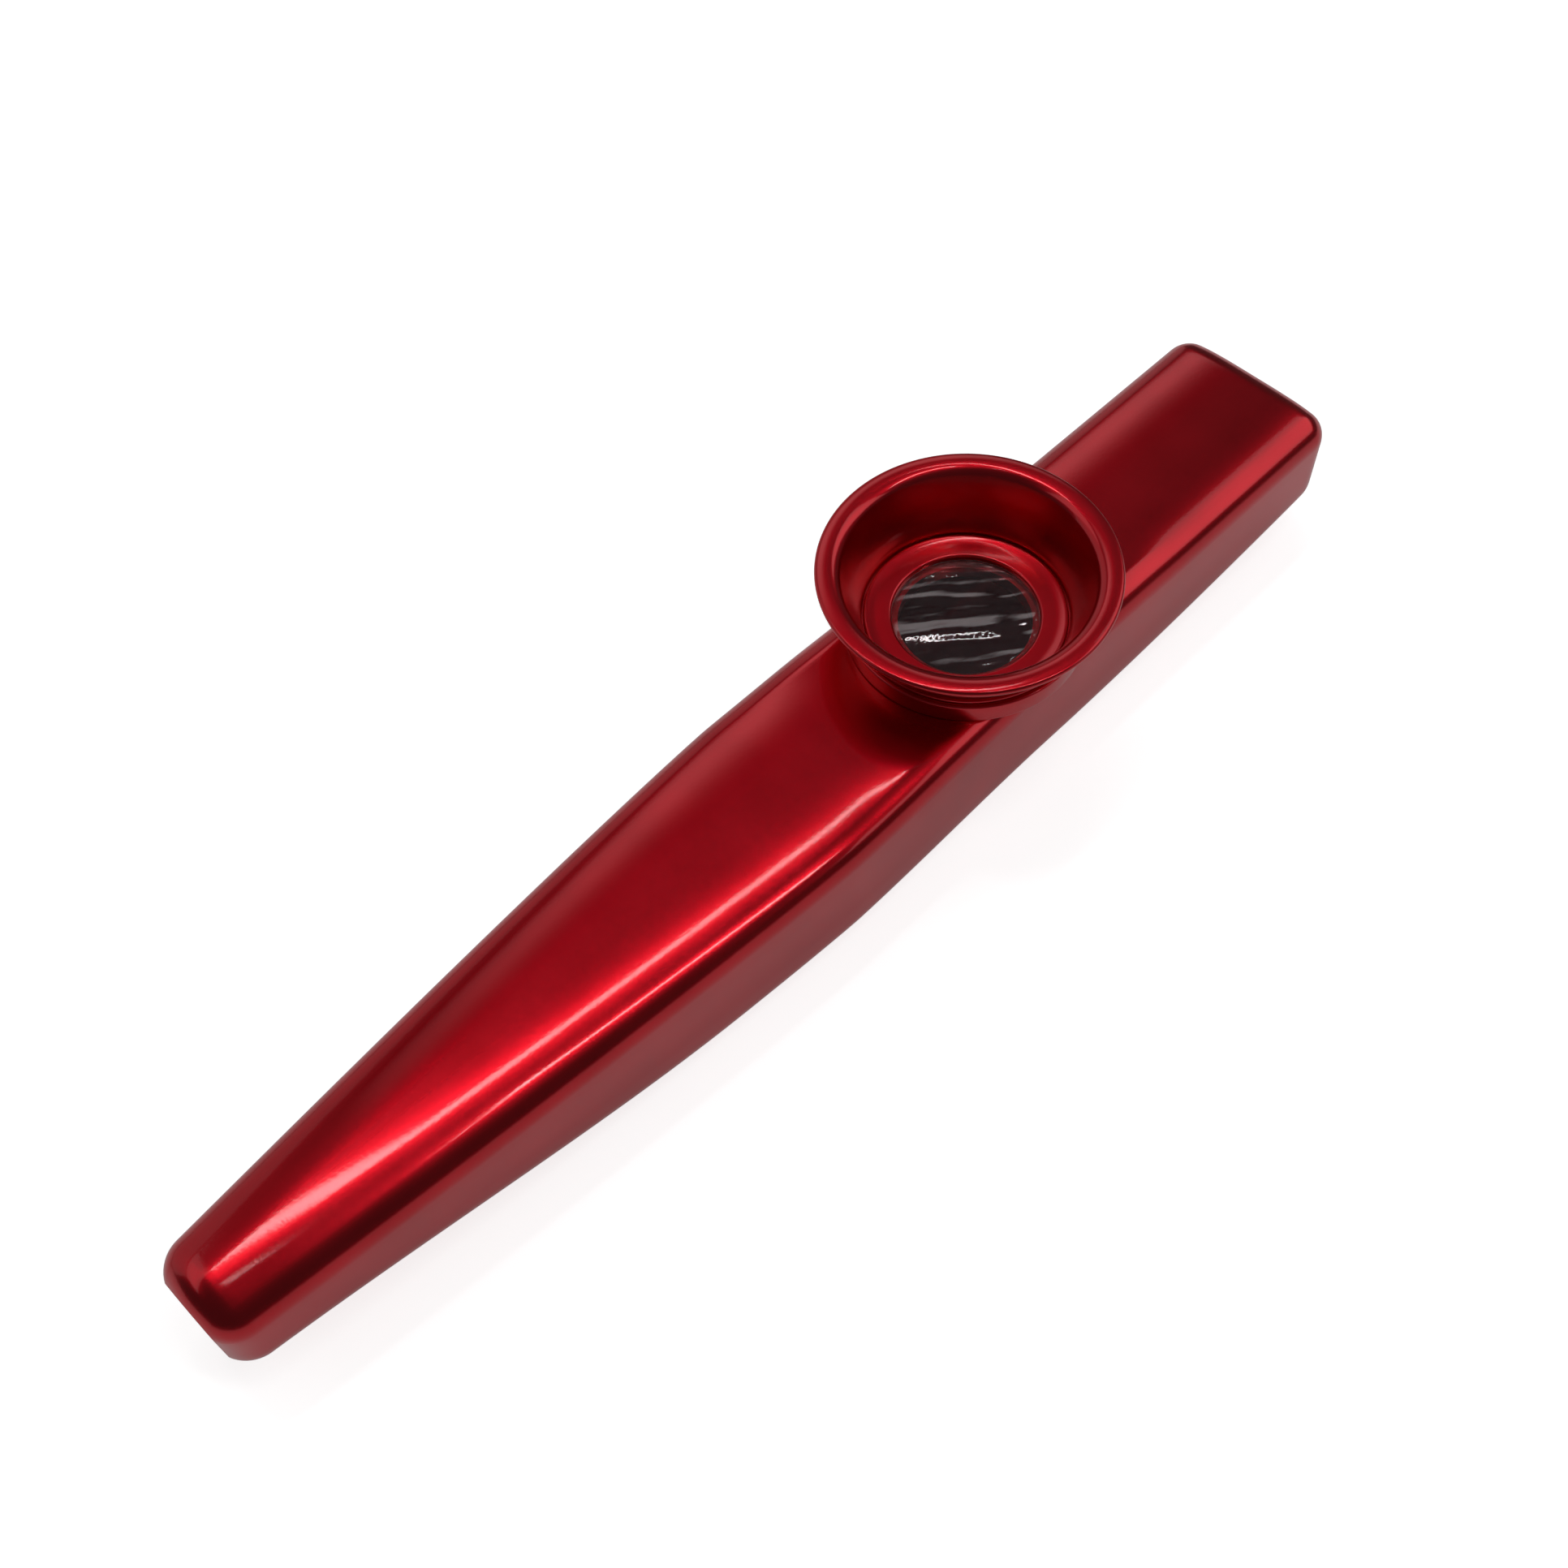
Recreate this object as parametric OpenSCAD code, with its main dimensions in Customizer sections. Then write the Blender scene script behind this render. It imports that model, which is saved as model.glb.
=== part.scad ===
// Metal kazoo: a drawn two-part body, a threaded collar on its top, a membrane
// seated in the collar, and a flared bowl that screws down over a clamping ring.
// X runs from the narrow outlet end to the wide mouthpiece end, Z is the bowl's
// axis, and the origin is under the middle of the body, where it rests.

/* [Body] */
// Length of the body, outlet end to mouthpiece end
body_len = 120; // [114:1:140]
// Thickness of the drawn sheet
wall = 0.5; // [0.4:0.05:0.7]
// Height of the body at its belly
belly_h = 13.4; // [12:0.1:16]
// Width of the body at its belly
belly_w = 17.9; // [16:0.1:20]
// Width of the outlet end
outlet_w = 8.8; // [8.4:0.1:12]
// Height of the outlet end
outlet_h = 9.4; // [8:0.1:11]
// Width of the mouthpiece end
mouth_w = 17; // [14:0.1:18]
// Height of the mouthpiece end
mouth_h = 10.7; // [9.5:0.1:12.5]
// How far the top rises from its edges to its middle, at the belly
crown_rise = 0.25; // [0.2:0.05:0.45]
// How far the top rises from its edges to its middle, at the outlet end
outlet_crown_rise = 0.55; // [0.4:0.05:0.8]
// Distance from the outlet end to the widest place
widest_from_outlet = 58; // [52:1:75]
// Distance over which the body narrows again towards the mouthpiece
shoulder_len = 24; // [20:1:36]
// Distance from the outlet end to where the flat keel starts
keel_start = 45; // [38:1:56]
// Length of the flat keel that the body rests on
keel_len = 40; // [30:1:48]

/* [Edges] */
// Radius of the long top edges along the belly and the mouthpiece
top_edge_r = 2.5; // [1.5:0.1:3]
// Radius of the long top edges at the outlet end
outlet_edge_r = 2.6; // [2:0.1:4]
// Radius of the long bottom edges
bottom_edge_r = 3; // [2:0.1:3.2]
// Radius of the sheet's roll round each end
end_roll_r = 2.6; // [2.2:0.1:3]
// Height of the pan's upturned flanges, above the sheet
flange_h = 0.5; // [0.3:0.1:1.5]
// Gap of the seam between the two shells
seam_gap = 0.04; // [0.02:0.01:0.1]

/* [Collar] */
// Distance from the outlet end to the bowl's axis
turret_from_outlet = 79.8; // [78:0.1:84]
// Outer radius of the collar
collar_r = 10.1; // [9.7:0.05:10.5]
// Height of the collar above the body
collar_h = 1.9; // [1.7:0.05:2.4]
// Radius of the collar's threaded socket
socket_r = 9.25; // [9.15:0.05:9.4]
// Thickness of the collar's floor
collar_floor = 0.3; // [0.25:0.05:0.6]
// Radius of the sound port under the membrane
port_r = 5.6; // [4:0.1:5.6]
// Wall of the collar's tail in the shell's hole
tail_wall = 0.35; // [0.3:0.05:0.5]
// How far the tail is swaged out under the shell
swage_w = 0.25; // [0.2:0.05:0.35]
// Thickness of the swaged rim
swage_h = 0.4; // [0.3:0.05:0.6]

/* [Membrane] */
// Outer radius of the membrane's ring
membrane_r = 8.6; // [8:0.05:8.7]
// Inner radius of the membrane's ring
membrane_hole_r = 6.3; // [6.1:0.05:7]
// Thickness of the membrane's ring
membrane_ring_h = 0.3; // [0.25:0.05:0.5]
// Thickness of the film
film_h = 0.06; // [0.04:0.01:0.1]
// How far the film's edge stays inside the ring's edge
film_margin = 0.3; // [0.1:0.05:0.6]

/* [Clamp ring] */
// Radius of the hole over the film
clamp_hole_r = 6.15; // [5.6:0.05:6.3]
// Outer radius of the raised ring
clamp_r = 8.5; // [8.3:0.05:8.55]
// Height of the raised ring
clamp_h = 0.6; // [0.5:0.05:0.9]
// Height of the ring at its hole
clamp_inner_h = 0.3; // [0.25:0.01:0.5]
// Thickness of the ring's outer lip, which the bowl presses down
clamp_lip_h = 0.25; // [0.2:0.01:0.3]
// Width of the ring's outer lip
clamp_lip_w = 0.35; // [0.3:0.01:0.4]

/* [Bowl] */
// Outer radius of the bowl's lip
lip_r = 12.45; // [12:0.05:14]
// Height of the lip's widest line above the body
lip_rise = 6.85; // [6:0.05:8]
// Radius of the lip's rounded outer edge
lip_edge_r = 0.3; // [0.25:0.05:0.4]
// Width of the flat on the lip, between its outer edge and its inner roll
lip_flat_w = 0.75; // [0.6:0.05:1]
// Radius of the roll from the lip down into the cup
lip_roll_r = 1.15; // [0.9:0.05:1.3]
// Width of the bowl's seating shoulder on the collar's rim
seat_w = 0.5; // [0.3:0.05:0.55]
// Thickness of the threaded skirt
skirt_wall = 0.3; // [0.25:0.01:0.32]
// How far the bowl's inner step reaches over the clamp ring's lip
step_w = 0.25; // [0.2:0.01:0.3]
// Thickness of the bowl's wall at its waist
waist_wall = 0.75; // [0.6:0.05:0.9]

/* [Hidden] */
$fn = 96;

// Colours of the pieces
anodised_red = [0.66, 0.05, 0.09];
ring_white = [0.85, 0.85, 0.82];
film_grey = [0.55, 0.50, 0.50, 0.5];

// Clearances
// Running clearance of the screw thread, which is drawn as plain cylinders
thread_gap = 0.05;
// Gap between pieces that lie face to face
seat_gap = 0.02;
// Height of the skirt's foot above the collar's floor
skirt_foot_gap = 0.1;
// Rounding of the small turned edges
edge_r = 0.2;
// Least radius that an inner corner keeps
least_r = 0.2;
// How far a cut runs past the face that it opens
overrun = 1;
// Width of the flat that is pressed round the collar's foot
seat_margin = 0.5;
// Length over which that flat blends into the crowned top
seat_blend = 9;

// Shares that shape the outline: how the taper to the outlet curves, how the crown
// steepens towards its edges at the outlet and past the belly, how the mouthpiece's
// underside rises, and where the seam runs on the flat bottom
taper_power = 1.25;
outlet_crown_power = 1.9;
crown_power = 4;
rise_power = 1.6;
seam_share = 0.75;
// Length over which the crown changes from its shape at the outlet
crown_change_len = 50;
// How the bowl's wall curves outward on its way up
flare_power = 1.6;
// Angle that the sheet rolls in by at both ends
end_roll_turn = 65;

// Steps of the curves
roll_steps = 4;
body_steps = 36;
crown_steps = 6;
corner_steps = 6;
bottom_steps = 4;
flare_steps = 12;

keel_end = keel_start + keel_len;
roll_len = end_roll_r * sin(end_roll_turn);
tail_r = port_r + tail_wall;
membrane_z = collar_floor + seat_gap;
film_z = membrane_z + membrane_ring_h;
clamp_z = film_z + film_h + seat_gap;
step_z = clamp_z + clamp_lip_h + seat_gap;
skirt_r = socket_r - thread_gap;
skirt_in_r = skirt_r - skirt_wall;

// Eases from 0 to 1 as u goes from 0 to 1, level at both ends
function ease(u) = let (t = min(1, max(0, u))) t * t * (3 - 2 * t);

function reverse(list) = [for (i = [len(list) - 1:-1:0]) list[i]];

// Outline of the body, at a distance s from the outlet end
function half_width(s) = s < widest_from_outlet
    ? (belly_w - (belly_w - outlet_w) * pow(1 - s / widest_from_outlet, taper_power)) / 2
    : (belly_w - (belly_w - mouth_w) * ease((s - widest_from_outlet) / shoulder_len)) / 2;

function underside(s) = s < keel_start
    ? (belly_h - outlet_h) * (1 - ease(s / keel_start))
    : (belly_h - mouth_h) * pow(max(0, s - keel_end) / (body_len - keel_end), rise_power);

function top_edge(s) =
    outlet_edge_r + (top_edge_r - outlet_edge_r) * ease(s / widest_from_outlet);

// The top is crowned, and pressed flat round the collar's foot
function crown(s) =
    (crown_rise + (outlet_crown_rise - crown_rise) * max(0, 1 - s / widest_from_outlet))
    * ease((abs(s - turret_from_outlet) - collar_r - seat_margin) / seat_blend);

// Power of the crown's curve: rounded at the outlet, flat in the middle past the belly
function bend(s) =
    outlet_crown_power + (crown_power - outlet_crown_power) * ease(s / crown_change_len);

// Slope at the crown's edge, where it meets the rounded top edge
function edge_tilt(s, top_y, r) =
    let (climb = bend(s) * crown(s), steeper = atan(climb / top_y))
    atan(climb / (top_y + r * sin(steeper)));

function seam_y(s) = seam_share * (half_width(s) - bottom_edge_r);

// One half of the upper shell's section, from the middle of the top to the seam,
// with every surface moved inwards by the inset
function half_section(s, inset) =
    let (
        w = half_width(s),
        r = top_edge(s),
        r_top = max(r - inset, least_r),
        r_bottom = max(bottom_edge_r - inset, least_r),
        top_y = w - r,
        bottom_y = w - bottom_edge_r,
        rise = crown(s),
        tilt = edge_tilt(s, top_y, r),
        crown_y = top_y + r_top * sin(tilt),
        top_z = belly_h - inset,
        bottom_z = underside(s) + inset
    )
    concat(
        [for (i = [0:crown_steps]) let (u = i / crown_steps)
            [crown_y * u, top_z - rise * pow(u, bend(s))]],
        [for (i = [1:corner_steps]) let (a = tilt + (90 - tilt) * i / corner_steps)
            [top_y + r_top * sin(a), top_z - rise + r_top * (cos(a) - cos(tilt))]],
        [for (i = [0:bottom_steps]) let (a = 90 * i / bottom_steps)
            [bottom_y + r_bottom * cos(a), bottom_z + r_bottom * (1 - sin(a))]],
        [[seam_y(s), bottom_z]]
    );

// The whole section, from the seam on one side over the top to the other
function shell_section(s, inset) =
    let (half = half_section(s, inset))
    concat(
        [for (i = [len(half) - 1:-1:1]) [-half[i][0], half[i][1]]],
        half
    );

// The pan's section: its floor and the flange on each side
function pan_section(s, inset, flange_z, flange_y) =
    let (
        y = seam_y(s) - seam_gap - flange_y,
        z = underside(s)
    )
    [[y, z + flange_z], [y, z + inset], [-y, z + inset], [-y, z + flange_z]];

// Stations along the body. Each holds the place and inset of the outer surface,
// then those of the inner one. The sheet rolls in at both ends.
function roll_station(a) =
    let (inner_r = end_roll_r - wall)
    [
        roll_len - end_roll_r * sin(a), end_roll_r * (1 - cos(a)),
        roll_len - inner_r * sin(a), end_roll_r - inner_r * cos(a)
    ];

function stations() =
    let (
        roll = [for (j = [0:roll_steps]) roll_station(end_roll_turn * (1 - j / roll_steps))],
        straight = body_len - 2 * roll_len
    )
    concat(
        roll,
        [for (j = [1:body_steps - 1]) let (s = roll_len + straight * j / body_steps)
            [s, 0, s, wall]],
        reverse([for (p = roll) [body_len - p[0], p[1], body_len - p[2], p[3]]])
    );

function place(s, section) = [for (p = section) [s - body_len / 2, p[0], p[1]]];

function quad(a, b, c, d) = [[a, b, c], [a, c, d]];

function flatten(lists) = [for (list = lists) each list];

// A sheet between two surfaces, each a list of rows of points
module sheet(outer, inner) {
    rows = len(outer);
    row = len(outer[0]);
    first_inner = rows * row;
    faces = concat(
        flatten([for (k = [0:rows - 2]) for (i = [0:row - 2])
            let (a = k * row + i, b = a + row)
            concat(
                quad(a, a + 1, b + 1, b),
                quad(first_inner + a, first_inner + b, first_inner + b + 1, first_inner + a + 1)
            )]),
        flatten([for (k = [0:rows - 2])
            let (a = k * row, b = a + row, c = a + row - 1, d = c + row)
            concat(
                quad(a, b, first_inner + b, first_inner + a),
                quad(d, c, first_inner + c, first_inner + d)
            )]),
        flatten([for (i = [0:row - 2])
            let (a = i, b = (rows - 1) * row + i)
            concat(
                quad(a + 1, a, first_inner + a, first_inner + a + 1),
                quad(b, b + 1, first_inner + b + 1, first_inner + b)
            )])
    );
    polyhedron(concat(flatten(outer), flatten(inner)), faces, convexity = 6);
}

// Moves a turret piece to its axis, its zero level on the body's top
module on_turret() {
    translate([turret_from_outlet - body_len / 2, 0, belly_h]) children();
}

// Points of an arc, from one angle to another
function arc(centre, r, from, to, steps) =
    [for (i = [0:steps]) let (a = from + (to - from) * i / steps)
        [centre[0] + r * cos(a), centre[1] + r * sin(a)]];

// Top and sides of the body, turned in under the bottom
module upper_shell() {
    color(anodised_red) difference() {
        sheet(
            [for (p = stations()) place(p[0], shell_section(p[0], p[1]))],
            [for (p = stations()) place(p[2], shell_section(p[2], p[3]))]
        );
        on_turret() translate([0, 0, -wall - overrun])
            cylinder(r = tail_r + seat_gap, h = wall + 2 * overrun);
    }
}

// Bottom pan, set into the turned-in edges of the upper shell
module lower_shell() {
    color(anodised_red) sheet(
        [for (p = stations())
            place(p[0], pan_section(p[0], p[1], p[3] + flange_h, 0))],
        [for (p = stations())
            place(p[2], pan_section(p[2], p[3], p[3] + flange_h, wall))]
    );
}

// Threaded socket on the body's top, its tail swaged inside the shell
module turret_collar() {
    swage_r = tail_r + swage_w;
    color(anodised_red) on_turret() rotate_extrude() polygon(concat(
        [
            [port_r, -wall - seat_gap - swage_h],
            [swage_r, -wall - seat_gap - swage_h],
            [swage_r, -wall - seat_gap],
            [tail_r, -wall - seat_gap],
            [tail_r, seat_gap],
        ],
        arc([collar_r - edge_r, seat_gap + edge_r], edge_r, -90, 0, corner_steps),
        arc([collar_r - edge_r, collar_h - edge_r], edge_r, 0, 90, corner_steps),
        [
            [socket_r, collar_h],
            [socket_r, collar_floor],
            [port_r, collar_floor],
        ]
    ));
}

// Stiff ring that the film is stretched on
module membrane_ring() {
    color(ring_white) on_turret() translate([0, 0, membrane_z]) difference() {
        cylinder(r = membrane_r, h = membrane_ring_h);
        translate([0, 0, -overrun])
            cylinder(r = membrane_hole_r, h = membrane_ring_h + 2 * overrun);
    }
}

// Thin film, glued on the ring
module membrane_film() {
    color(film_grey) on_turret() translate([0, 0, film_z])
        cylinder(r = membrane_r - film_margin, h = film_h);
}

// Raised ring that holds the film down without turning on it
module clamp_ring() {
    color(anodised_red) on_turret() translate([0, 0, clamp_z]) rotate_extrude()
        polygon(concat(
            [
                [clamp_hole_r, 0],
                [clamp_r + clamp_lip_w, 0],
                [clamp_r + clamp_lip_w, clamp_lip_h],
                [clamp_r, clamp_lip_h],
            ],
            arc([clamp_r - edge_r, clamp_h - edge_r], edge_r, 0, 90, corner_steps),
            arc([clamp_hole_r + edge_r, clamp_inner_h - edge_r], edge_r, 90, 180, corner_steps)
        ));
}

// Flared bowl: a threaded skirt, a shoulder on the collar and a rolled lip.
// Its wall keeps its thickness all the way up, from the step to the lip.
module bowl() {
    lip_top = lip_rise + lip_edge_r;
    roll_x = lip_r - lip_edge_r - lip_flat_w;
    foot_z = collar_floor + skirt_foot_gap;
    shoulder_z = collar_h + seat_gap;
    shoulder_r = socket_r + seat_w;
    wall_in_r = clamp_r + clamp_lip_w - step_w;
    // The wall's lean where it meets the roll, from the vertical
    lean = atan(
        flare_power * (roll_x - lip_roll_r - wall_in_r) / (lip_top - lip_roll_r - step_z)
    );
    lip_in_r = roll_x - lip_roll_r * cos(lean);
    flare_h = lip_top - lip_roll_r * (1 - sin(lean)) - step_z;
    waist_share = (shoulder_z + 2 * edge_r - step_z) / flare_h;
    function wall_at(u) = wall_in_r + (lip_in_r - wall_in_r) * pow(u, flare_power);
    function thickness_at(u) = waist_wall + (lip_flat_w - waist_wall) * u;
    color(anodised_red) on_turret() rotate_extrude() polygon(concat(
        [
            [skirt_in_r, foot_z],
            [skirt_r, foot_z],
            [skirt_r, shoulder_z],
        ],
        arc([shoulder_r - edge_r, shoulder_z + edge_r], edge_r, -90, 45, corner_steps),
        [for (i = [0:flare_steps]) let (u = waist_share + (1 - waist_share) * i / flare_steps)
            [wall_at(u) + thickness_at(u), step_z + flare_h * u]],
        arc([lip_r - lip_edge_r, lip_rise], lip_edge_r, -90, 90, 2 * corner_steps),
        arc([roll_x, lip_top - lip_roll_r], lip_roll_r, 90, 180 - lean, corner_steps),
        [for (i = [flare_steps - 1:-1:0]) let (u = i / flare_steps)
            [wall_at(u), step_z + flare_h * u]],
        [[skirt_in_r, step_z]]
    ));
}

upper_shell();
lower_shell();
turret_collar();
membrane_ring();
membrane_film();
clamp_ring();
bowl();
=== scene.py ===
import math

import bpy
import numpy as np
from mathutils import Matrix, Vector


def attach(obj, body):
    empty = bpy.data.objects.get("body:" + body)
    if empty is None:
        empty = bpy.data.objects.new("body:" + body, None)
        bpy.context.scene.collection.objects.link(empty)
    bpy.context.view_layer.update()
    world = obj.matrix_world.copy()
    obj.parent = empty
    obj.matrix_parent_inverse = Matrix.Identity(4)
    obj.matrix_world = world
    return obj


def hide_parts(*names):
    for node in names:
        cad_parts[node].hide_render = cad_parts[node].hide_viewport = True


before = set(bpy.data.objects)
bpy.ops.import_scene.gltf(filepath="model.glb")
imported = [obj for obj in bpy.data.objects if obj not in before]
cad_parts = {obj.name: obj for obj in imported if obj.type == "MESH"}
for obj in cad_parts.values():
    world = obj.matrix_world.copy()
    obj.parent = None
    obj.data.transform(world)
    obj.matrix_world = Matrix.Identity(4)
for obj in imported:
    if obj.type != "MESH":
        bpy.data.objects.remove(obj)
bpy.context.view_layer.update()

MM = 0.001

# All sizes are in mm. s is the distance from the outlet end along the body. On the bowl's axis,
# r is the radius and z the height over the body's top.

# Body
body_len, wall = 120.0, 0.5
belly_h, belly_w = 13.4, 17.9
outlet_w, outlet_h = 8.8, 9.4
mouth_w, mouth_h = 17.0, 10.7
widest, shoulder_len = 58.0, 24.0
keel_start, keel_end = 45.0, 85.0
top_edge_r, outlet_edge_r, bottom_edge_r, least_r = 2.5, 2.6, 3.0, 0.2
taper_power, rise_power = 1.25, 1.6
# How far the crown rises and how it steepens towards its edges, at the belly and at the outlet
crown_rise, outlet_crown_rise = 0.25, 0.55
crown_power, outlet_crown_power, crown_change_len = 4, 1.9, 50.0
# The sheet's roll round each end
end_roll_r, end_roll_turn = 2.6, math.radians(65)
roll_len = end_roll_r * math.sin(end_roll_turn)
# The seam on the flat bottom: its place, its gap and the pan's flanges
seam_share, seam_gap, flange_h = 0.75, 0.04, 0.5

# Collar, and the flat that is pressed round its foot
turret = 79.8
axis_x = turret - body_len / 2
collar_r, collar_h, socket_r, collar_floor = 10.1, 1.9, 9.25, 0.3
port_r, tail_wall, swage_w, swage_h = 5.6, 0.35, 0.25, 0.4
seat_margin, seat_blend, seat_gap = 0.5, 9.0, 0.02
# Rounding of turned edges, and the thread with its share of sloping flank
edge, fine_edge = 0.2, 0.06
pitch, thread_depth, flank = 0.7, 0.12, 0.85

# Membrane
membrane_r, membrane_hole_r, membrane_ring_h = 8.6, 6.3, 0.3
film_r, film_h = 8.3, 0.06

# Clamp ring: its pressed lip, and a raised ring that slopes down to its hole
clamp_hole_r, clamp_r, clamp_lip_r, clamp_lip_h = 6.15, 8.5, 8.85, 0.25
clamp_h, clamp_slope_h, clamp_slope_r, clamp_slope_w, clamp_roll_r = 0.6, 0.1, 7.3, 0.9, 0.25

# Bowl: lip, flare, threaded skirt and seating shoulder
lip_r, lip_rise, lip_edge_r, lip_roll_r = 12.45, 6.85, 0.3, 1.15
dome_r, dome_deg = 3.2, 9
wall_in_r, waist_wall, flare_power = 8.6, 0.75, 1.6
skirt_r, skirt_in_r, foot_z, shoulder_z, shoulder_r = 9.2, 8.9, 0.4, 1.92, 9.75

# Steps of the curves
turn_steps, flare_steps, edge_steps, lip_steps = 320, 40, 8, 24
port_steps, port_phase, port_reach = 160, 0.37, 3

SHARP_DEG, FILM_SHARP_DEG = 32, 60


def ease(u):
    """0 up to u = 0, 1 from u = 1, and a smooth rise between."""
    t = min(1.0, max(0.0, u))
    return t * t * (3 - 2 * t)


# Outline of the body
def half_width(s):
    if s < widest:
        return (belly_w - (belly_w - outlet_w) * (1 - s / widest) ** taper_power) / 2
    return (belly_w - (belly_w - mouth_w) * ease((s - widest) / shoulder_len)) / 2


def underside(s):
    """Height of the bottom: 0 along the keel, rising to both ends."""
    if s < keel_start:
        return (belly_h - outlet_h) * (1 - ease(s / keel_start))
    u = max(0.0, s - keel_end) / (body_len - keel_end)
    return (belly_h - mouth_h) * u ** rise_power


def top_edge(s):
    """Radius of the long top edges."""
    return outlet_edge_r + (top_edge_r - outlet_edge_r) * ease(s / widest)


def crown(s):
    """How far the top rises from its edges to its middle. It is flat round the collar."""
    rise = crown_rise + (outlet_crown_rise - crown_rise) * max(0.0, 1 - s / widest)
    return rise * ease((abs(s - turret) - collar_r - seat_margin) / seat_blend)


def bend(s):
    """Power of the crown's curve across the top."""
    return outlet_crown_power + (crown_power - outlet_crown_power) * ease(s / crown_change_len)


def edge_tilt(s, top_y, r):
    """Slope of the crown where it meets the rounded edge."""
    climb = bend(s) * crown(s)
    return math.atan(climb / (top_y + r * math.sin(math.atan(climb / top_y))))


def seam_y(s):
    return seam_share * (half_width(s) - bottom_edge_r)


def half_section(s, inset, crown_n=20, corner_n=18, side_n=4, bottom_n=12, hem_n=3):
    """Right half of the upper shell's section, from the middle of the top to the seam.

    inset is the depth under the outer face, so the wall gives the inner face.
    """
    w, r = half_width(s), top_edge(s)
    r_top = max(r - inset, least_r)
    r_bottom = max(bottom_edge_r - inset, least_r)
    top_y, bottom_y = w - r, w - bottom_edge_r
    rise = crown(s)
    tilt = edge_tilt(s, top_y, r)
    crown_y = top_y + r_top * math.sin(tilt)
    top_z, bottom_z = belly_h - inset, underside(s) + inset
    points = []
    for i in range(crown_n + 1):
        u = i / crown_n
        points.append((crown_y * u, top_z - rise * u ** bend(s)))
    for i in range(1, corner_n + 1):
        a = tilt + (math.pi / 2 - tilt) * i / corner_n
        z = top_z - rise + r_top * (math.cos(a) - math.cos(tilt))
        points.append((top_y + r_top * math.sin(a), z))
    z_from, z_to = points[-1][1], bottom_z + r_bottom
    for i in range(1, side_n):
        points.append((points[-1][0], z_from + (z_to - z_from) * i / side_n))
    for i in range(bottom_n + 1):
        a = math.pi / 2 * i / bottom_n
        points.append((bottom_y + r_bottom * math.cos(a), bottom_z + r_bottom * (1 - math.sin(a))))
    y_from = points[-1][0]
    for i in range(1, hem_n + 1):
        points.append((y_from + (seam_y(s) - y_from) * i / hem_n, bottom_z))
    return points


def shell_section(s, inset):
    half = half_section(s, inset)
    return [(-y, z) for y, z in half[:0:-1]] + half


def pan_section(s, inset, flange_z, flange_y, floor_n=16):
    """Section of the lower shell: a flange, the floor and the other flange."""
    y, z = seam_y(s) - seam_gap - flange_y, underside(s)
    floor = [(y - 2 * y * i / floor_n, z + inset) for i in range(floor_n + 1)]
    return [(y, z + flange_z)] + floor + [(-y, z + flange_z)]


def stations(roll_n=10, straight_n=190):
    """Places along the body: s and inset of the outer face, then s and inset of the inner face."""
    inner_r = end_roll_r - wall
    roll = []
    for j in range(roll_n + 1):
        a = end_roll_turn * (1 - j / roll_n)
        roll.append((
            roll_len - end_roll_r * math.sin(a), end_roll_r * (1 - math.cos(a)),
            roll_len - inner_r * math.sin(a), end_roll_r - inner_r * math.cos(a),
        ))
    step = (body_len - 2 * roll_len) / straight_n
    middle = [(roll_len + step * j, 0, roll_len + step * j, wall) for j in range(1, straight_n)]
    far = [(body_len - a, b, body_len - c, d) for a, b, c, d in reversed(roll)]
    return roll + middle + far


def place(s, section):
    return [(s - body_len / 2, y, z) for y, z in section]


# Mesh tools
def smooth(obj, sharp_deg=SHARP_DEG):
    mesh = obj.data
    mesh.polygons.foreach_set("use_smooth", [True] * len(mesh.polygons))
    mesh.set_sharp_from_angle(angle=math.radians(sharp_deg))
    mesh.update()


def new_object(name, verts, faces, sharp_deg=SHARP_DEG):
    mesh = bpy.data.meshes.new(name)
    mesh.from_pydata([(x * MM, y * MM, z * MM) for x, y, z in verts], [], faces)
    mesh.validate()
    obj = bpy.data.objects.new(name, mesh)
    bpy.context.scene.collection.objects.link(obj)
    smooth(obj, sharp_deg)
    return obj


def sheet(name, outer, inner):
    """A closed sheet between two faces of equal rows, open along its length."""
    rows, row = len(outer), len(outer[0])
    first = rows * row
    verts = [p for line in outer for p in line] + [p for line in inner for p in line]
    faces = []
    for k in range(rows - 1):
        for i in range(row - 1):
            a = k * row + i
            b = a + row
            faces.append((a, a + 1, b + 1, b))
            faces.append((first + a, first + b, first + b + 1, first + a + 1))
        a, c = k * row, k * row + row - 1
        b, d = a + row, c + row
        faces.append((a, b, first + b, first + a))
        faces.append((d, c, first + c, first + d))
    for i in range(row - 1):
        a, b = i, (rows - 1) * row + i
        faces.append((a + 1, a, first + a, first + a + 1))
        faces.append((b, b + 1, first + b + 1, first + b))
    return new_object(name, verts, faces)


def cut(obj, cutter):
    """Takes the cutter out of the object and deletes the cutter."""
    mod = obj.modifiers.new("cut", "BOOLEAN")
    mod.object, mod.operation, mod.solver = cutter, "DIFFERENCE", "EXACT"
    graph = bpy.context.evaluated_depsgraph_get()
    mesh = bpy.data.meshes.new_from_object(obj.evaluated_get(graph))
    obj.modifiers.clear()
    obj.data = mesh
    bpy.data.objects.remove(cutter)
    smooth(obj)


def arc(cr, cz, r, start, end, steps):
    """Points of an arc in the lathe's plane, angles in degrees."""
    out = []
    for i in range(steps + 1):
        a = math.radians(start + (end - start) * i / steps)
        out.append((cr + r * math.cos(a), cz + r * math.sin(a), 0.0))
    return out


def groove(theta, z):
    """0 on the thread's crest, 1 in its root. Right-handed."""
    phase = z / pitch - theta / (2 * math.pi)
    return min(1.0, max(0.0, 0.5 - flank * math.cos(2 * math.pi * phase)))


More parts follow.
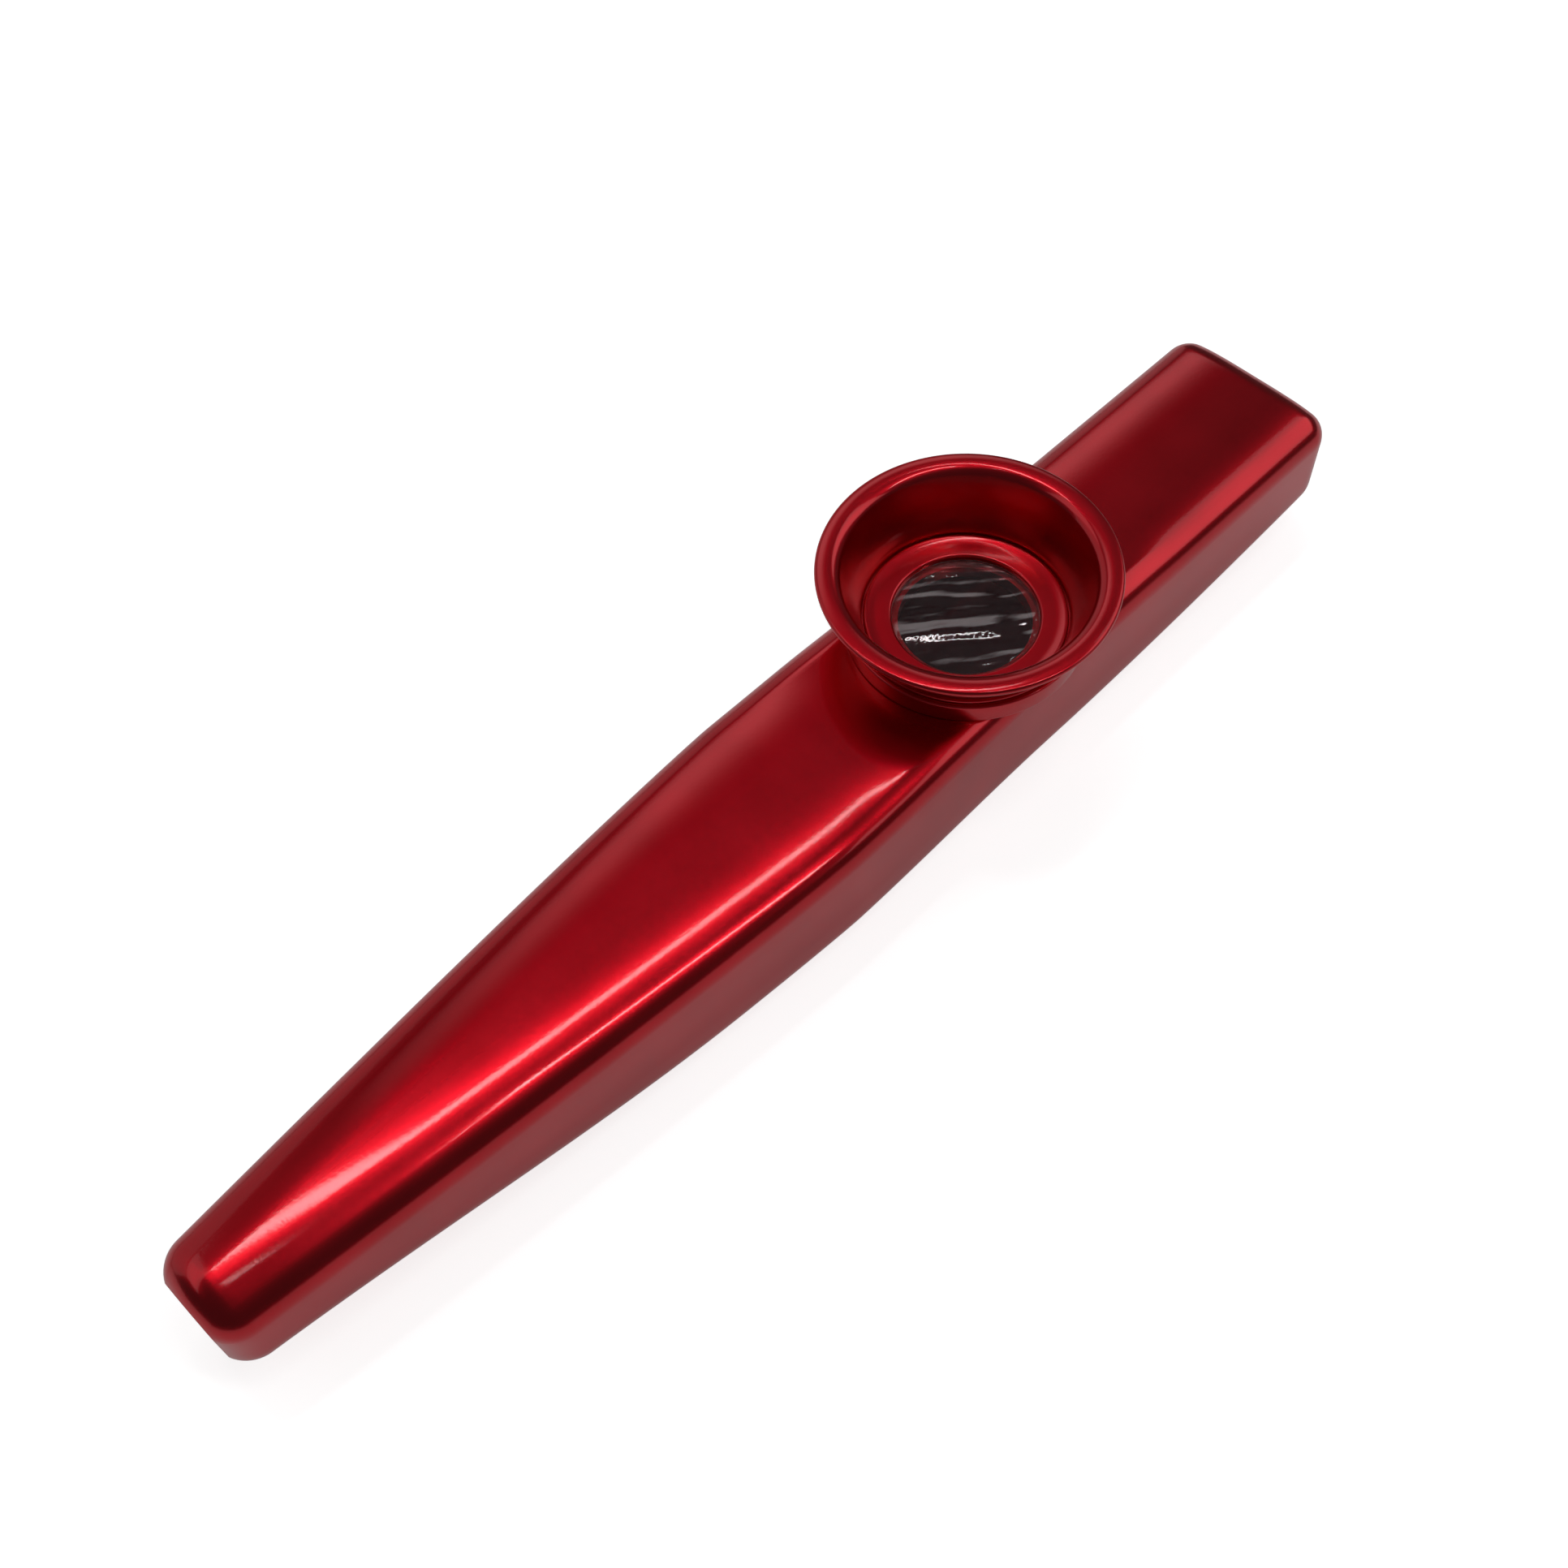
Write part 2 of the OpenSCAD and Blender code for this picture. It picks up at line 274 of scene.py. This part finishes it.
def ridge(theta, z):
    return 1 - groove(theta, z)


def lathe(name, profile, wave=None):
    """Turned solid on the bowl's axis.

    A point is (r, z, thread): thread times the wave moves it outwards.
    """
    verts, faces = [], []
    n = len(profile)
    for j in range(turn_steps):
        theta = 2 * math.pi * j / turn_steps
        c, s = math.cos(theta), math.sin(theta)
        for r, z, thread in profile:
            if thread:
                r += thread * wave(theta, z)
            verts.append((axis_x + r * c, r * s, belly_h + z))
    for j in range(turn_steps):
        a, b = j * n, (j + 1) % turn_steps * n
        for i in range(n):
            k = (i + 1) % n
            faces.append((a + i, b + i, b + k, a + k))
    return new_object(name, verts, faces)


def thread_run(r, z_from, z_to, depth, rows=44, fade=0.22):
    """A threaded wall as lathe points. The thread fades out at both ends."""
    out = []
    for i in range(rows + 1):
        z = z_from + (z_to - z_from) * i / rows
        end = min(abs(z - z_from), abs(z - z_to))
        out.append((r, z, depth * ease(end / fade)))
    return out


def cylinder(name, r, z_from, z_to, steps, phase):
    """A plain cutter on the bowl's axis. phase turns its corners off those of the body."""
    verts = []
    for z in (z_from, z_to):
        for i in range(steps):
            a = 2 * math.pi * (i + phase) / steps
            verts.append((axis_x + r * math.cos(a), r * math.sin(a), z))
    faces = [tuple(range(steps))[::-1], tuple(range(steps, 2 * steps))]
    faces += [(i, (i + 1) % steps, steps + (i + 1) % steps, steps + i) for i in range(steps)]
    return new_object(name, verts, faces)


# Body
line = stations()
upper = sheet(
    "upper_shell_skin",
    [place(s, shell_section(s, inset)) for s, inset, _, _ in line],
    [place(s, shell_section(s, inset)) for _, _, s, inset in line],
)
tail_r = port_r + tail_wall
cut(upper, cylinder(
    "port_cutter", tail_r + seat_gap, belly_h - port_reach, belly_h + port_reach, port_steps, port_phase,
))
lower = sheet(
    "lower_shell_skin",
    [place(s, pan_section(s, inset, depth + flange_h, 0)) for s, inset, _, depth in line],
    [place(s, pan_section(s, depth, depth + flange_h, wall)) for _, _, s, depth in line],
)

# Collar: the swaged tail under the shell, the rounded rim and the threaded socket
swage_r = tail_r + swage_w
swage_top = -wall - seat_gap
collar_profile = [
    (port_r, swage_top - swage_h, 0),
    (swage_r, swage_top - swage_h, 0),
    (swage_r, swage_top, 0),
    (tail_r, swage_top, 0),
    (tail_r, seat_gap, 0),
]
collar_profile += arc(collar_r - edge, seat_gap + edge, edge, -90, 0, edge_steps)
collar_profile += arc(collar_r - edge, collar_h - edge, edge, 0, 90, edge_steps)
collar_profile += thread_run(socket_r, collar_h, collar_floor, thread_depth)
collar_profile += [(port_r, collar_floor, 0)]
collar = lathe("threaded_collar", collar_profile, ridge)

# What lies in the socket, from below: membrane ring, film, clamp ring and the bowl's step
ring_z = collar_floor + seat_gap
film_z = ring_z + membrane_ring_h
clamp_z = film_z + film_h + seat_gap
step_z = clamp_z + clamp_lip_h + seat_gap
membrane_ring = lathe("membrane_ring_body", [
    (membrane_hole_r, ring_z, 0),
    (membrane_r, ring_z, 0),
    (membrane_r, film_z - fine_edge, 0),
    (membrane_r - fine_edge, film_z, 0),
    (membrane_hole_r + fine_edge, film_z, 0),
    (membrane_hole_r, film_z - fine_edge, 0),
])

clamp_top, slope_steps = clamp_z + clamp_h, 9
clamp_profile = [(clamp_hole_r, clamp_z, 0), (clamp_lip_r, clamp_z, 0)]
clamp_profile += arc(clamp_lip_r - fine_edge, clamp_z + clamp_lip_h - fine_edge, fine_edge, 0, 90, 4)
clamp_profile += [(clamp_r, clamp_z + clamp_lip_h, 0)]
clamp_profile += arc(clamp_r - edge, clamp_top - edge, edge, 0, 90, 10)
for i in range(slope_steps, -1, -1):
    u = i / slope_steps
    clamp_profile.append((clamp_slope_r + clamp_slope_w * u, clamp_top - clamp_slope_h * (1 - u ** 2), 0))
clamp_profile += arc(clamp_hole_r + clamp_roll_r, clamp_z + clamp_roll_r, clamp_roll_r, 90, 180, 12)
clamp = lathe("clamp_ring_body", clamp_profile)

# Bowl: the lip is a small outer edge, a shallow dome and a roll into the flare, each
# tangent to the next, so their middles follow from the lip's size
dome_turn = math.radians(dome_deg)
lip_top = lip_rise + lip_edge_r
edge_top = lip_top - dome_r * (1 - math.cos(dome_turn))
dome_x = lip_r - lip_edge_r * (1 - math.sin(dome_turn)) - dome_r * math.sin(dome_turn)
roll_x = dome_x - (dome_r - lip_roll_r) * math.sin(dome_turn)
roll_z = edge_top - lip_roll_r * math.cos(dome_turn)
lean = math.atan(flare_power * (roll_x - lip_roll_r - wall_in_r) / (roll_z - step_z))
lip_in_r = roll_x - lip_roll_r * math.cos(lean)
flare_h = roll_z + lip_roll_r * math.sin(lean) - step_z


def wall_at(u):
    """Inner radius of the flare, from its foot at 0 to the lip's roll at 1."""
    return wall_in_r + (lip_in_r - wall_in_r) * u ** flare_power


waist = (shoulder_z + 2 * edge - step_z) / flare_h
edge_z = edge_top - lip_edge_r * math.cos(dome_turn)
bowl_profile = [(skirt_in_r, foot_z, 0)]
bowl_profile += thread_run(skirt_r, foot_z, shoulder_z, -thread_depth)
bowl_profile += arc(shoulder_r - edge, shoulder_z + edge, edge, -90, 45, edge_steps)
for i in range(flare_steps + 1):
    u = waist + (1 - waist) * i / flare_steps
    bowl_profile.append((wall_at(u) + waist_wall, step_z + flare_h * u, 0))
bowl_profile += arc(lip_r - lip_edge_r, edge_z, lip_edge_r, -90, 90 - dome_deg, lip_steps)
bowl_profile += arc(dome_x, lip_top - dome_r, dome_r, 90 - dome_deg, 90 + dome_deg, 14)[1:]
bowl_profile += arc(roll_x, roll_z, lip_roll_r, 90 + dome_deg, 180 - math.degrees(lean), 32)[1:]
for i in range(flare_steps - 1, -1, -1):
    u = i / flare_steps
    bowl_profile.append((wall_at(u), step_z + flare_h * u, 0))
bowl_profile += [(skirt_in_r, step_z, 0)]
bowl = lathe("flared_bowl", bowl_profile, groove)

# Film: u runs along the folds, v across them, and w is v with a slight sway.
# A fold is: start, end and softness along u, its turn away from u, the places across it
# of its foot, crest, crest and foot, and its height.
u_x, u_y = 0.78, 0.625
folds = (
    (-7.5, 3.9, 2.4, 0.0, (-2.4, -1.5, -1.05, -0.1), 0.124),
    (2.6, 9.0, 2.4, 0.06, (-1.75, -1.35, -1.2, -0.6), 0.06),
    (3.7, 9.0, 1.9, 0.0, (-2.9, -2.45, -2.4, -1.9), 0.08),
    (-5.0, 6.5, 3.0, 0.09, (-5.4, -4.7, -4.6, -3.9), 0.05),
    (-4.2, 1.0, 1.2, 0.0, (4.2, 4.7, 4.9, 5.4), 0.07),
    (-5.2, 2.0, 2.0, 0.0, (3.1, 3.4, 3.5, 3.9), 0.03),
    (-6.0, 4.4, 4.0, -0.1, (1.4, 2.1, 2.2, 2.7), 0.045),
    (1.4, 8.0, 3.0, 0.1, (0.9, 1.2, 1.3, 1.6), 0.03),
)
# A crushed crest is: start, end and softness along u, its middle and half width across, and its height.
crushed = (
    (-7.5, 3.9, 2.4, -1.95, 0.45, 0.003),
    (-4.2, 1.0, 1.2, 4.5, 0.4, 0.004),
)
crinkle_size, crinkle_seed = 0.45, 3
# The sway of w: height, length and phase of two waves
sways = ((0.12, 1.9, 0), (0.04, 0.7, 1))
# Ripples all over the film: height, stretch along u, size and seed
ripples = ((0.01, 5, 1.1, 11), (0.0012, 2, 0.5, 5))
usual_peak = 1.4
# The clamp ring flattens the film outside flat_r, over flat_w.
flat_r, flat_w = 6.1, 0.45


def slope(v, start, end, tilt, soft=0.07):
    """Height of a surface that climbs at a tilt between two places and is level elsewhere."""
    return tilt * soft * (np.logaddexp(0, (v - start) / soft) - np.logaddexp(0, (v - end) / soft))


def fold(v, start, top_start, top_end, end, height):
    """An uneven fold: up from start to top_start, level to top_end, down to end."""
    up = slope(v, start, top_start, height / (top_start - start))
    return up - slope(v, top_end, end, height / (end - top_end))


def along(u, start, end, soft):
    """1 between two places along a fold, fading out at both."""
    t = np.clip((u - start) / soft, 0, 1) * np.clip((end - u) / soft, 0, 1)
    return t * t * (3 - 2 * t)


def ripple(u, v, size, seed, count=9):
    """Smooth uneven waves of about the given size, between about -1 and 1, the same on every run."""
    rng = np.random.default_rng(seed)
    total = np.zeros_like(u)
    for k in range(count):
        a, phase = rng.uniform(0, 2 * math.pi, 2)
        length = size * rng.uniform(0.6, 1.6)
        total += np.sin(2 * math.pi * (u * math.cos(a) + v * math.sin(a)) / length + phase)
    return total / count ** 0.5 / usual_peak


def film_height(x, y):
    """Height of the stretched film's folds. They die out under the ring."""
    u, v = u_x * x - u_y * y, u_y * x + u_x * y
    w = v.copy()
    for rise, length, phase in sways:
        w += rise * np.sin(u / length + phase)
    h = np.zeros_like(u)
    for start, end, soft, turn, across, height in folds:
        h += along(u, start, end, soft) * fold(w - turn * u, *across, height)
    crinkle = ripple(u, v, crinkle_size, crinkle_seed)
    for start, end, soft, middle, half, height in crushed:
        h += along(u, start, end, soft) * height * crinkle * np.exp(-((w - middle) / half) ** 2)
    for height, stretch, size, seed in ripples:
        h += height * ripple(u / stretch, v, size, seed)
    t = np.clip((flat_r - np.hypot(x, y)) / flat_w, 0, 1)
    return h * t * t * (3 - 2 * t)


def stretched_film(name, r_out, z_low, z_high, rings=110, steps=420):
    """A thin closed disc: its middle point, then rings of both faces."""
    theta = 2 * math.pi * np.arange(steps) / steps
    radii = r_out * (np.arange(1, rings + 1) / rings)
    x = np.append(0.0, np.outer(radii, np.cos(theta)))
    y = np.append(0.0, np.outer(radii, np.sin(theta)))
    height = film_height(x, y)
    top = np.stack([x + axis_x, y, belly_h + z_high + height], 1)
    low = np.stack([x + axis_x, y, belly_h + z_low + height], 1)
    first = len(top)
    faces = []
    for j in range(steps):
        k = (j + 1) % steps
        faces.append((0, 1 + j, 1 + k))
        faces.append((first, first + 1 + k, first + 1 + j))
        for i in range(rings - 1):
            a, b = 1 + i * steps, 1 + (i + 1) * steps
            faces.append((a + j, b + j, b + k, a + k))
            faces.append((first + a + j, first + a + k, first + b + k, first + b + j))
        a = 1 + (rings - 1) * steps
        faces.append((a + k, a + j, first + a + j, first + a + k))
    return new_object(name, np.concatenate([top, low]).tolist(), faces, FILM_SHARP_DEG)


film = stretched_film("wrinkled_film", film_r, film_z, film_z + film_h)

for obj, body, nodes, slot in (
    (upper, "body", ["upper_shell"], "anodised_body"),
    (lower, "body", ["lower_shell"], "anodised_body"),
    (collar, "body", ["turret_collar"], "anodised_turret"),
    (membrane_ring, "body", ["membrane_ring"], "ring_plastic"),
    (film, "body", ["membrane_film"], "film"),
    (clamp, "clamp", ["clamp_ring"], "anodised_turret"),
    (bowl, "bowl_cap", ["bowl"], "anodised_turret"),
):
    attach(obj, body)
    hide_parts(*nodes)


# Materials. Noise scales are in waves per metre, bump depths in metres.
red_dye = ((0.6, 0.006, 0.016, 1), (0.52, 0.004, 0.012, 1))
ring_white = ((0.84, 0.83, 0.79, 1), (0.74, 0.73, 0.68, 1))
film_tint = ((0.9, 0.68, 0.7, 1), (0.82, 0.55, 0.58, 1))
drawn_roughness, turned_roughness, roughness_spread = 0.26, 0.3, 0.012
marks_depth, satin_depth, coat_depth = 0.0000009, 0.0000012, 0.0000026
pore_depth, crease_depth = 0.000005, 0.000002


def material(name):
    mat = bpy.data.materials.new(name)
    mat.use_nodes = True
    nodes, links = mat.node_tree.nodes, mat.node_tree.links
    return mat, nodes, links, nodes["Principled BSDF"]


def add(nodes, links, kind, operation=None, **inputs):
    """A node with its inputs set, or linked where the value is a socket. i0 is input number 0."""
    node = nodes.new(kind)
    if operation:
        node.operation = operation
    for key, value in inputs.items():
        numbered = key[0] == "i" and key[1:].isdigit()
        socket = node.inputs[int(key[1:])] if numbered else node.inputs[key]
        if isinstance(value, bpy.types.NodeSocket):
            links.new(value, socket)
        else:
            socket.default_value = value
    return node


def noise(nodes, links, vector, scale, detail=2.0):
    return add(nodes, links, "ShaderNodeTexNoise", Vector=vector, Scale=scale, Detail=detail).outputs[0]


def spread(nodes, links, value, low, high, from_low=0.3, from_high=0.7):
    """A noise value remapped to the range that a socket takes."""
    ends = {"i1": from_low, "i2": from_high, "i3": low, "i4": high}
    return add(nodes, links, "ShaderNodeMapRange", i0=value, **ends).outputs[0]


def bumpy(nodes, links, height, depth, **under):
    """A bump's normal. under may give the normal that it adds to."""
    bump = add(nodes, links, "ShaderNodeBump", Strength=1.0, Distance=depth, Height=height, **under)
    return bump.outputs[0]


def mottled(nodes, links, value, colours, target):
    """Two colours mixed by a noise value into a socket."""
    mix = add(nodes, links, "ShaderNodeMix")
    mix.data_type = "RGBA"
    mix.inputs[6].default_value, mix.inputs[7].default_value = colours
    links.new(spread(nodes, links, value, 0.0, 1.0), mix.inputs[0])
    links.new(mix.outputs[2], target)


def scaled(nodes, links, vector, factors):
    return add(nodes, links, "ShaderNodeVectorMath", "MULTIPLY", i0=vector, i1=factors).outputs[0]


def turned(nodes, links, vector):
    """Coordinates that follow a lathe's tool: distance from the bowl's axis, and height."""
    middle = (axis_x * MM, 0, 0)
    flat = add(nodes, links, "ShaderNodeVectorMath", "SUBTRACT", i0=vector, i1=middle).outputs[0]
    parts = add(nodes, links, "ShaderNodeSeparateXYZ", i0=flat)
    x, y, z = parts.outputs
    level = add(nodes, links, "ShaderNodeCombineXYZ", i0=x, i1=y).outputs[0]
    radius = add(nodes, links, "ShaderNodeVectorMath", "LENGTH", i0=level).outputs["Value"]
    return add(nodes, links, "ShaderNodeCombineXYZ", i0=radius, i1=z).outputs[0]


def anodised(name, on_lathe, roughness):
    """Dyed metal under a thin clear coat, with tool marks that run along the body or round the axis."""
    mat, nodes, links, red = material(name)
    place_of = nodes.new("ShaderNodeTexCoord").outputs["Object"]
    if on_lathe:
        marks = noise(nodes, links, turned(nodes, links, place_of), 9000.0, 3.0)
    else:
        marks = noise(nodes, links, scaled(nodes, links, place_of, (0.012, 1.0, 1.0)), 6500.0, 3.0)
    grain = noise(nodes, links, place_of, 4600.0, 3.0)
    mottled(nodes, links, noise(nodes, links, place_of, 160.0), red_dye, red.inputs["Base Color"])
    low, high = roughness - roughness_spread, roughness + roughness_spread
    uneven = add(nodes, links, "ShaderNodeMath", "ADD", i0=grain, i1=marks).outputs[0]
    links.new(spread(nodes, links, uneven, low, high, 0.7, 1.3), red.inputs["Roughness"])
    drawn = bumpy(nodes, links, marks, marks_depth)
    links.new(bumpy(nodes, links, grain, satin_depth, Normal=drawn), red.inputs["Normal"])
    links.new(bumpy(nodes, links, grain, coat_depth), red.inputs["Coat Normal"])
    red.inputs["Metallic"].default_value = 1
    red.inputs["Coat Weight"].default_value = 0.48
    red.inputs["Coat Roughness"].default_value = 0.075
    red.inputs["Coat IOR"].default_value = 1.65
    return mat


def satin_plastic(name):
    mat, nodes, links, white = material(name)
    place_of = nodes.new("ShaderNodeTexCoord").outputs["Object"]
    pores = noise(nodes, links, place_of, 4200.0, 4.0)
    mottled(nodes, links, noise(nodes, links, place_of, 350.0), ring_white, white.inputs["Base Color"])
    links.new(spread(nodes, links, pores, 0.4, 0.55), white.inputs["Roughness"])
    links.new(bumpy(nodes, links, pores, pore_depth), white.inputs["Normal"])
    return mat


def clear_film(name):
    mat, nodes, links, clear = material(name)
    place_of = nodes.new("ShaderNodeTexCoord").outputs["Object"]
    creases = noise(nodes, links, scaled(nodes, links, place_of, (0.6, 1.0, 1.0)), 2600.0, 3.0)
    mottled(nodes, links, noise(nodes, links, place_of, 500.0), film_tint, clear.inputs["Base Color"])
    links.new(spread(nodes, links, creases, 0.02, 0.08), clear.inputs["Roughness"])
    links.new(bumpy(nodes, links, creases, crease_depth), clear.inputs["Normal"])
    clear.inputs["Transmission Weight"].default_value = 0.985
    clear.inputs["IOR"].default_value = 1.62
    return mat


for objects, mat in (
    ((upper, lower), anodised("red_anodised_drawn", False, drawn_roughness)),
    ((collar, clamp, bowl), anodised("red_anodised_turned", True, turned_roughness)),
    ((membrane_ring,), satin_plastic("ring_plastic_satin")),
    ((film,), clear_film("clear_film")),
):
    for obj in objects:
        obj.data.materials.clear()
        obj.data.materials.append(mat)

# Stage. The lamps that draw the highlights hang at lamp_z, the broad soft ones just over them.
lamp_z, soft_z, floor_half = 900, 905, 1500
back_y, back_half, back_foot_z = 1200, 1200, 60


def card(name, corners, mat):
    """A flat polygon of the set."""
    mesh = bpy.data.meshes.new(name)
    mesh.from_pydata([(x * MM, y * MM, z * MM) for x, y, z in corners], [], [tuple(range(len(corners)))])
    mesh.materials.append(mat)
    obj = bpy.data.objects.new(name, mesh)
    bpy.context.scene.collection.objects.link(obj)
    return obj


def at_height(z, *corners):
    return [(x, y, z) for x, y in corners]


def level_box(x0, y0, x1, y1, z):
    return at_height(z, (x0, y0), (x1, y0), (x1, y1), (x0, y1))


def axes_at(x, y, z, at):
    """The matrix of an object with these axes, in this place."""
    return Matrix([[x[i], y[i], z[i], at[i]] for i in range(3)] + [[0, 0, 0, 1]])


def glow(name, radiance, faded=False):
    """A lamp's surface. A faded one dims towards both long edges and towards its first end."""
    mat, nodes, links, plain = material(name)
    nodes.remove(plain)
    light = add(nodes, links, "ShaderNodeEmission", Strength=radiance)
    links.new(light.outputs[0], nodes["Material Output"].inputs["Surface"])
    if faded:
        apart = nodes.new("ShaderNodeSeparateXYZ")
        links.new(nodes.new("ShaderNodeTexCoord").outputs["Generated"], apart.inputs[0])
        across = add(nodes, links, "ShaderNodeMath", "PINGPONG", i0=apart.outputs[1], i1=0.5).outputs[0]
        middle = add(nodes, links, "ShaderNodeMapRange", i0=across, i1=0.0, i2=0.4, i3=0.0, i4=radiance)
        middle.interpolation_type = "SMOOTHSTEP"
        start = spread(nodes, links, apart.outputs[0], 0.2, 1.0, 0.0, 0.35)
        level = add(nodes, links, "ShaderNodeMath", "MULTIPLY", i0=middle.outputs[0], i1=start)
        links.new(level.outputs[0], light.inputs["Strength"])
    return mat


def white_to_camera(nodes, links, lit, white):
    """A strength that is lit for the object's light and white where the camera looks."""
    seen = nodes.new("ShaderNodeLightPath").outputs["Is Camera Ray"]
    return spread(nodes, links, seen, lit, white, 0.0, 1.0)


def strip(name, start, end, width, radiance):
    """A long area lamp at lamp_z that faces down, from start to end."""
    a, b = Vector((*start, lamp_z)) * MM, Vector((*end, lamp_z)) * MM
    lamp = bpy.data.lights.new(name, "AREA")
    lamp.shape = "RECTANGLE"
    lamp.size, lamp.size_y = (b - a).length, width * MM
    lamp.energy = radiance * math.pi * lamp.size * lamp.size_y
    x, z = (b - a).normalized(), Vector((0, 0, 1))
    obj = bpy.data.objects.new(name, lamp)
    obj.matrix_world = axes_at(x, z.cross(x), z, (a + b) / 2)
    bpy.context.scene.collection.objects.link(obj)
    return obj


floor_mat, nodes, links, paint = material("floor_pale")
paint.inputs["Base Color"].default_value = (0.8, 0.8, 0.8, 1)
paint.inputs["Roughness"].default_value = 0.9
paint.inputs["Specular IOR Level"].default_value = 0.1
paint.inputs["Emission Color"].default_value = (1, 1, 1, 1)
links.new(white_to_camera(nodes, links, 0.1, 0.76), paint.inputs["Emission Strength"])
card("floor", level_box(-floor_half, -floor_half, floor_half, floor_half, 0), floor_mat)

world = bpy.data.worlds.new("studio")
bpy.context.scene.world = world
world.use_nodes = True
nodes, links = world.node_tree.nodes, world.node_tree.links
nodes["Background"].inputs["Color"].default_value = (1, 1, 1, 1)
links.new(white_to_camera(nodes, links, 0.07, 1.0), nodes["Background"].inputs["Strength"])

bright = glow("strip_glow", 11.2)
card("strip_a", at_height(lamp_z, (50, 180), (414, 182), (414, 213), (50, 228)), bright)
bend_corners = (50, 180), (50, 228), (-26, 440), (-62, 426), (-8, 196)
card("strip_a_bend", at_height(lamp_z, *bend_corners), bright)
strip("strip_b", (70, -74), (356, -690), 26, 20)
strip("strip_b_bend", (20, -150), (70, -110), 10, 20)
strip("strip_d", (-78, 104), (-68, 24), 8, 14)
card("soft_top", level_box(60, 450, 1100, 1010, soft_z), glow("soft_glow", 1.0, True))
card("soft_end", level_box(-1100, 400, -90, 1150, soft_z), glow("end_glow", 0.7))
card("panel", level_box(600, 145, 1700, -1700, soft_z), glow("panel_glow", 1.05))
back_corners = (-back_half, back_foot_z), (back_half, back_foot_z), (back_half, lamp_z), (-back_half, lamp_z)
card("back_panel", [(x, back_y, z) for x, z in back_corners], glow("back_glow", 0.4))

# Camera: the place and lens that fit the photograph's outlines
azimuth, elevation, roll = math.radians(-42.35), math.radians(57.06), math.radians(-3.29)
look, distance, lens, sensor = Vector((-1.99, -0.43, 13.4)), 149.86, 43.565, 36
flat_part = math.cos(elevation)
back = Vector((math.sin(azimuth) * flat_part, -math.cos(azimuth) * flat_part, math.sin(elevation)))
level = Vector((math.cos(azimuth), math.sin(azimuth), 0))
upright = back.cross(level)
right = level * math.cos(roll) + upright * math.sin(roll)
up = upright * math.cos(roll) - level * math.sin(roll)
cam_data = bpy.data.cameras.new("camera")
cam_data.sensor_width = sensor
cam_data.lens = lens
cam_data.clip_start = 0.01
cam = bpy.data.objects.new("camera", cam_data)
cam.matrix_world = axes_at(right, up, back, (look + back * distance) * MM)
bpy.context.scene.collection.objects.link(cam)
bpy.context.scene.camera = cam
bpy.context.scene.view_settings.view_transform = "Standard"
